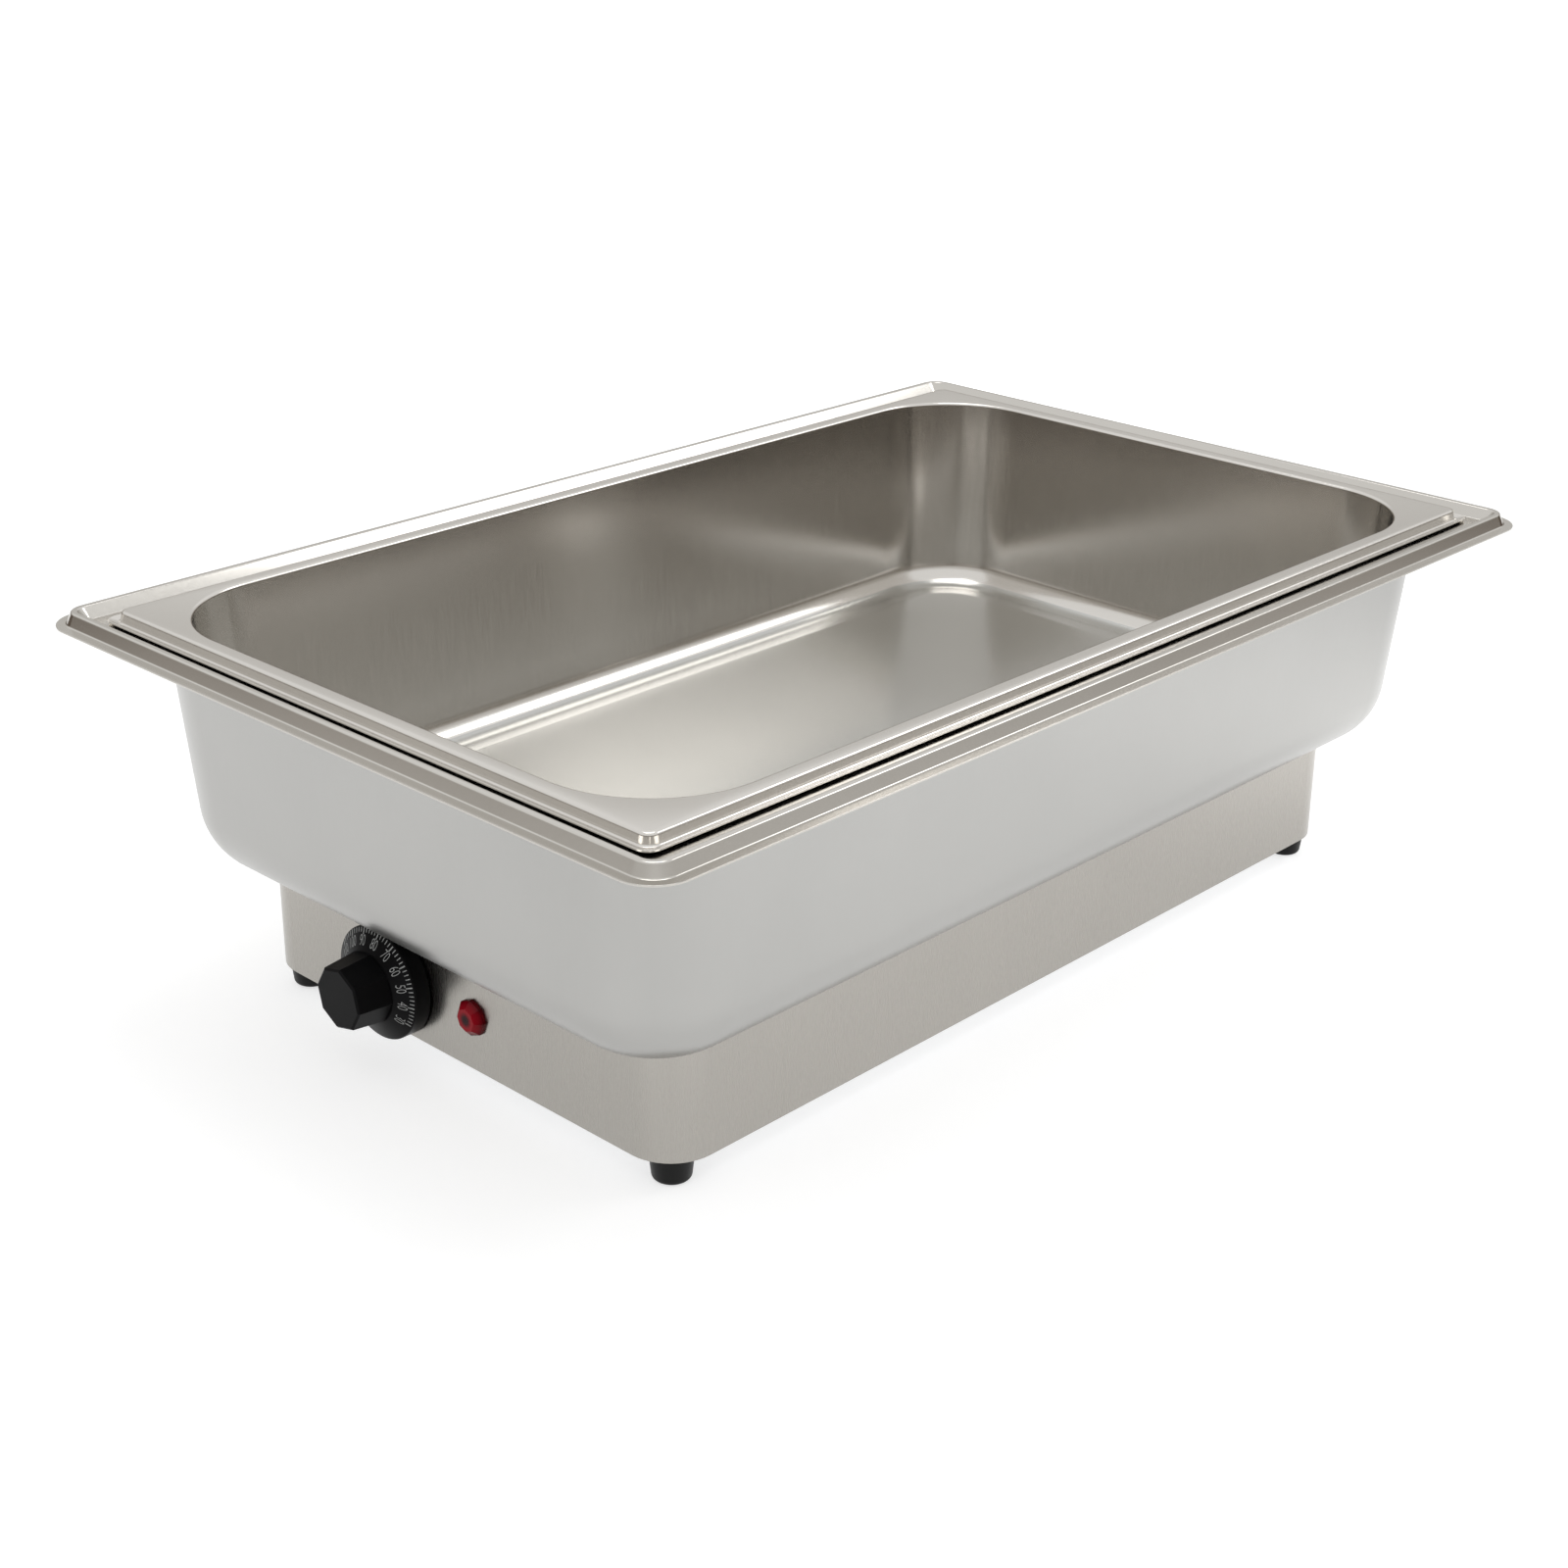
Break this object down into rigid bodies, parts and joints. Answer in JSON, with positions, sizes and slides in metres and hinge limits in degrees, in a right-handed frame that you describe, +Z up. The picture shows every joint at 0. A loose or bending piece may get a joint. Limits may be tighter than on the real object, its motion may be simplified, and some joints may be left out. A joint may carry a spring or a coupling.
{
  "type": "electric food warmer tray",
  "caption": "Electric bain-marie tray: a rectangular food pan drops into a deep heated water pan on a control base with a thermostat knob, pilot lamp and short feet",
  "frame": {"origin": "centre of the bounding box on the floor plane, under the feet", "axes": "+Z up, the long side runs along Y, the control panel with the knob faces -Y"},
  "size_m": [0.3656, 0.5642, 0.1737],
  "materials": {
    "pan_steel": "satin stainless sheet",
    "base_steel": "brushed stainless sheet",
    "zinc_sheet": "galvanised sheet",
    "zinc_hardware": "zinc plated",
    "foot_plastic": "matt",
    "plate_aluminium": "rolled",
    "sheath_steel": "heat tinted",
    "mineral_wool": "fibrous",
    "switch_plastic": "matt",
    "terminal_brass": "plain",
    "capillary_copper": "drawn copper",
    "knob_plastic": "fine satin",
    "lens_red": "clear tinted",
    "block_plastic": "matt",
    "gland_plastic": "matt",
    "wire_brown": "matt",
    "wire_blue": "matt",
    "wire_green": "matt"
  },
  "bodies": {
    "base": {"base_frame": "base_steel", "base_housing": "base_steel", "block_screws": "zinc_hardware", "bottom_cover": "zinc_sheet", "bulb_straps": "zinc_sheet", "capillary_tube": "capillary_copper", "clamp_bars": "zinc_sheet", "clamp_nuts": "zinc_hardware", "clamp_studs": "zinc_hardware", "cord_gland": "gland_plastic", "cover_nuts": "zinc_hardware", "cover_screws": "zinc_hardware", "cross_rail_front": "zinc_sheet", "cross_rail_rear": "zinc_sheet", "cutout_blades": "terminal_brass", "cutout_screws": "zinc_hardware", "earth_nut": "zinc_hardware", "earth_ring": "terminal_brass", "earth_stud": "zinc_hardware", "element_pins": "zinc_hardware", "foot_front_left": "foot_plastic", "foot_front_right": "foot_plastic", "foot_nuts": "zinc_hardware", "foot_rear_left": "foot_plastic", "foot_rear_right": "foot_plastic", "foot_screws": "zinc_hardware", "gland_nut": "gland_plastic", "heat_plate": "plate_aluminium", "heat_shield": "zinc_sheet", "heating_element": "sheath_steel", "insulation_mat": "mineral_wool", "lamp_blades": "terminal_brass", "lamp_body": "switch_plastic", "lamp_lens": "lens_red", "lamp_nut": "switch_plastic", "pan_nuts": "zinc_hardware", "pan_studs": "zinc_hardware", "pole_screws": "zinc_hardware", "sensor_bulb": "sheath_steel", "shield_screws": "zinc_hardware", "terminal_block": "block_plastic", "thermal_cutout": "switch_plastic", "thermostat_blades": "terminal_brass", "thermostat_bracket": "zinc_sheet", "thermostat_case": "switch_plastic", "thermostat_screws": "zinc_hardware", "water_pan": "pan_steel", "water_rim": "pan_steel", "wire_cutout_out": "wire_brown", "wire_earth": "wire_green", "wire_heat_out": "wire_brown", "wire_lamp_live": "wire_brown", "wire_lamp_neutral": "wire_blue", "wire_live_in": "wire_brown", "wire_neutral": "wire_blue"},
    "food_pan_body": {"food_pan": "pan_steel"},
    "control_knob": {"knob": "knob_plastic", "knob_clip": "zinc_hardware", "thermostat_shaft": "sheath_steel"}
  },
  "joints": [
    {"name": "knob_turn", "type": "hinge", "parent": "base", "child": "control_knob", "pos_m": [-0.036, -0.223, 0.0359], "axis": [0, -1, 0], "range_deg": [-60, 120]},
    {"name": "food_pan_lift", "type": "slide", "parent": "base", "child": "food_pan_body", "axis": [0, 0, 1], "range_m": [0, 0.12]}
  ]
}
